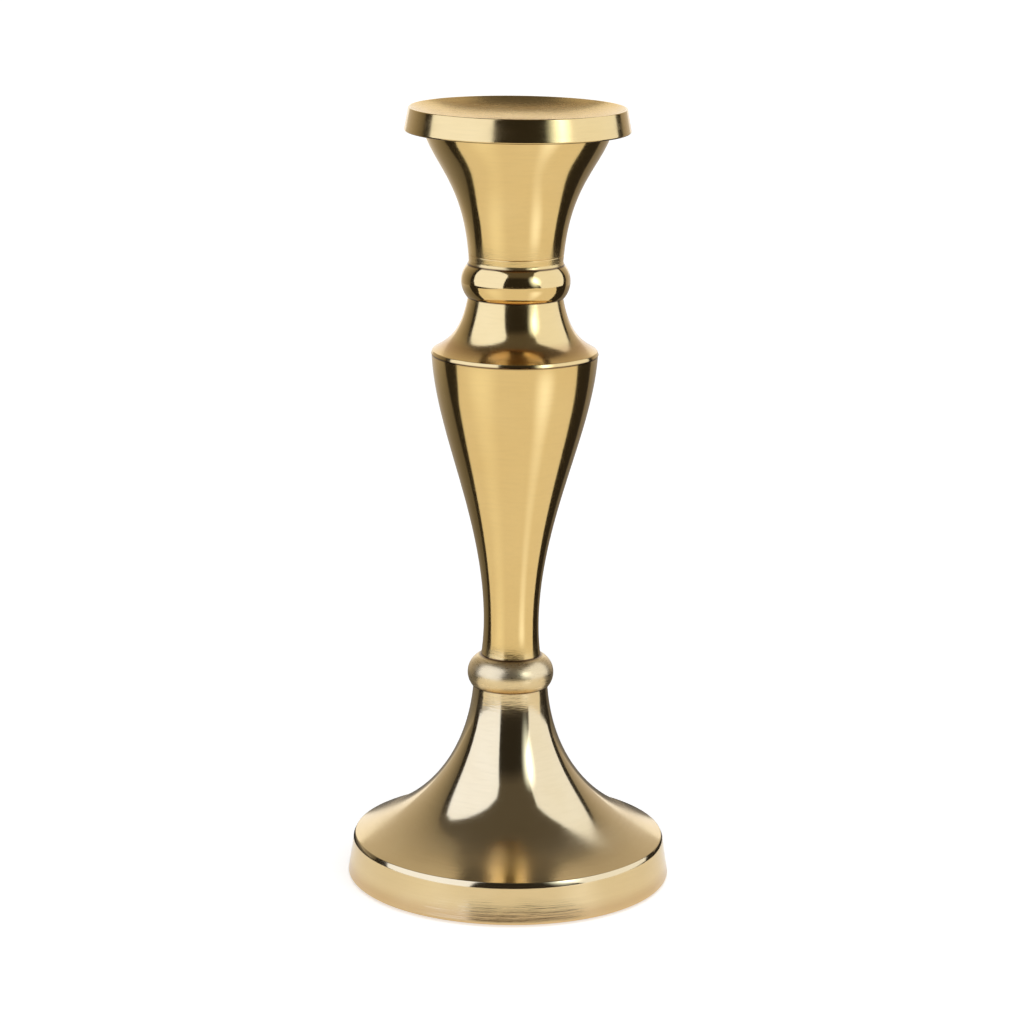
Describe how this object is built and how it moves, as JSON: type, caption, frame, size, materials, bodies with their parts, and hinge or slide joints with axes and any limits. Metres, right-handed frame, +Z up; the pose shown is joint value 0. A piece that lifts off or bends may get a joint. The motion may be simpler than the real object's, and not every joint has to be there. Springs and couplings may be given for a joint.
{
  "type": "candlestick",
  "caption": "Turned brass candlestick: flared round foot, baluster stem, candle cup and saucer drip pan clamped on a tie rod, with a bore for a taper candle.",
  "frame": {"origin": "centre of the round face it stands on, the underside of the felt pad", "axes": "+Z up along the candlestick's axis, from the foot to the candle"},
  "size_m": [0.1004, 0.1004, 0.2406],
  "materials": {
    "golden_brass": "polished, fine turning lines",
    "pale_brass": "satin, fine turning lines",
    "steel": "zinc plated",
    "board": "pressed fibre board",
    "felt": "black felt"
  },
  "bodies": {
    "root": {"felt_pad": "felt", "base_board": "board", "foot": "pale_brass", "lower_knop": "pale_brass", "stem": "golden_brass", "shoulder_collar": "golden_brass", "upper_knop": "golden_brass", "candle_cup": "golden_brass", "drip_pan": "golden_brass", "tie_rod": "steel", "foot_nut": "steel", "spring_washer": "steel", "foot_washer": "steel", "cup_washer": "steel", "cup_nut": "steel"}
  },
  "joints": []
}
